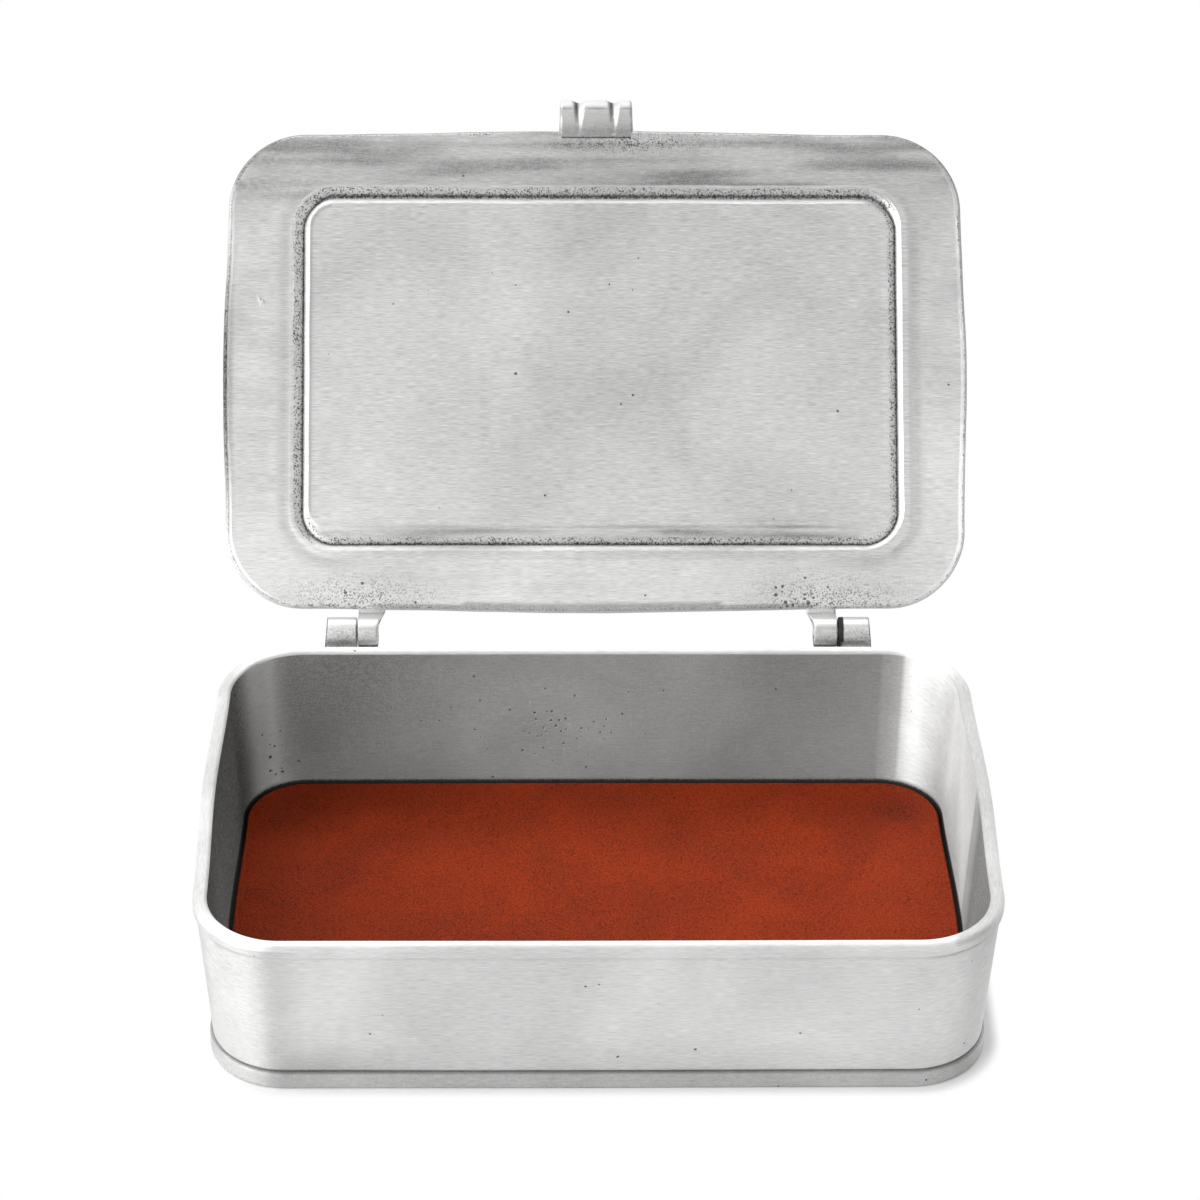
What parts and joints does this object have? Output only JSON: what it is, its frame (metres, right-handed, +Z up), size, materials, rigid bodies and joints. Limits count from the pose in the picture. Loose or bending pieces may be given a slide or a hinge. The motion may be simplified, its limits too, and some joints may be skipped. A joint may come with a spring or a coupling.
{
  "type": "lidded box",
  "caption": "Low rectangular pewter keepsake box with rounded corners, a hinged lid with a framed panel, a thumb lift and a leather-lined floor.",
  "frame": {"origin": "middle of the foot's flat underside, on the surface that the box stands on", "axes": "+X along the width, +Y towards the hinges, +Z up; the thumb lift is on the -Y side when the lid is shut"},
  "size_m": [0.1414, 0.1639, 0.1095],
  "materials": {
    "pewter": "hand-finished cast pewter, fine brush lines, satin with polished edges",
    "leather": "smooth tan leather with a fine pebbled grain",
    "pin_steel": "plain bright pin"
  },
  "bodies": {
    "box": {"body_wall": "pewter", "base_plate": "pewter", "leather_liner": "leather", "body_knuckle_left": "pewter", "body_knuckle_right": "pewter", "hinge_pin_left": "pin_steel", "hinge_pin_right": "pin_steel"},
    "lid": {"lid_shell": "pewter", "thumb_piece": "pewter", "lid_knuckle_left": "pewter", "lid_knuckle_right": "pewter"}
  },
  "joints": [
    {"name": "lid_hinge", "type": "hinge", "parent": "box", "child": "lid", "pos_m": [0, 0.0502, 0.0318], "axis": [1, 0, 0], "range_deg": [0, 129.5]}
  ]
}
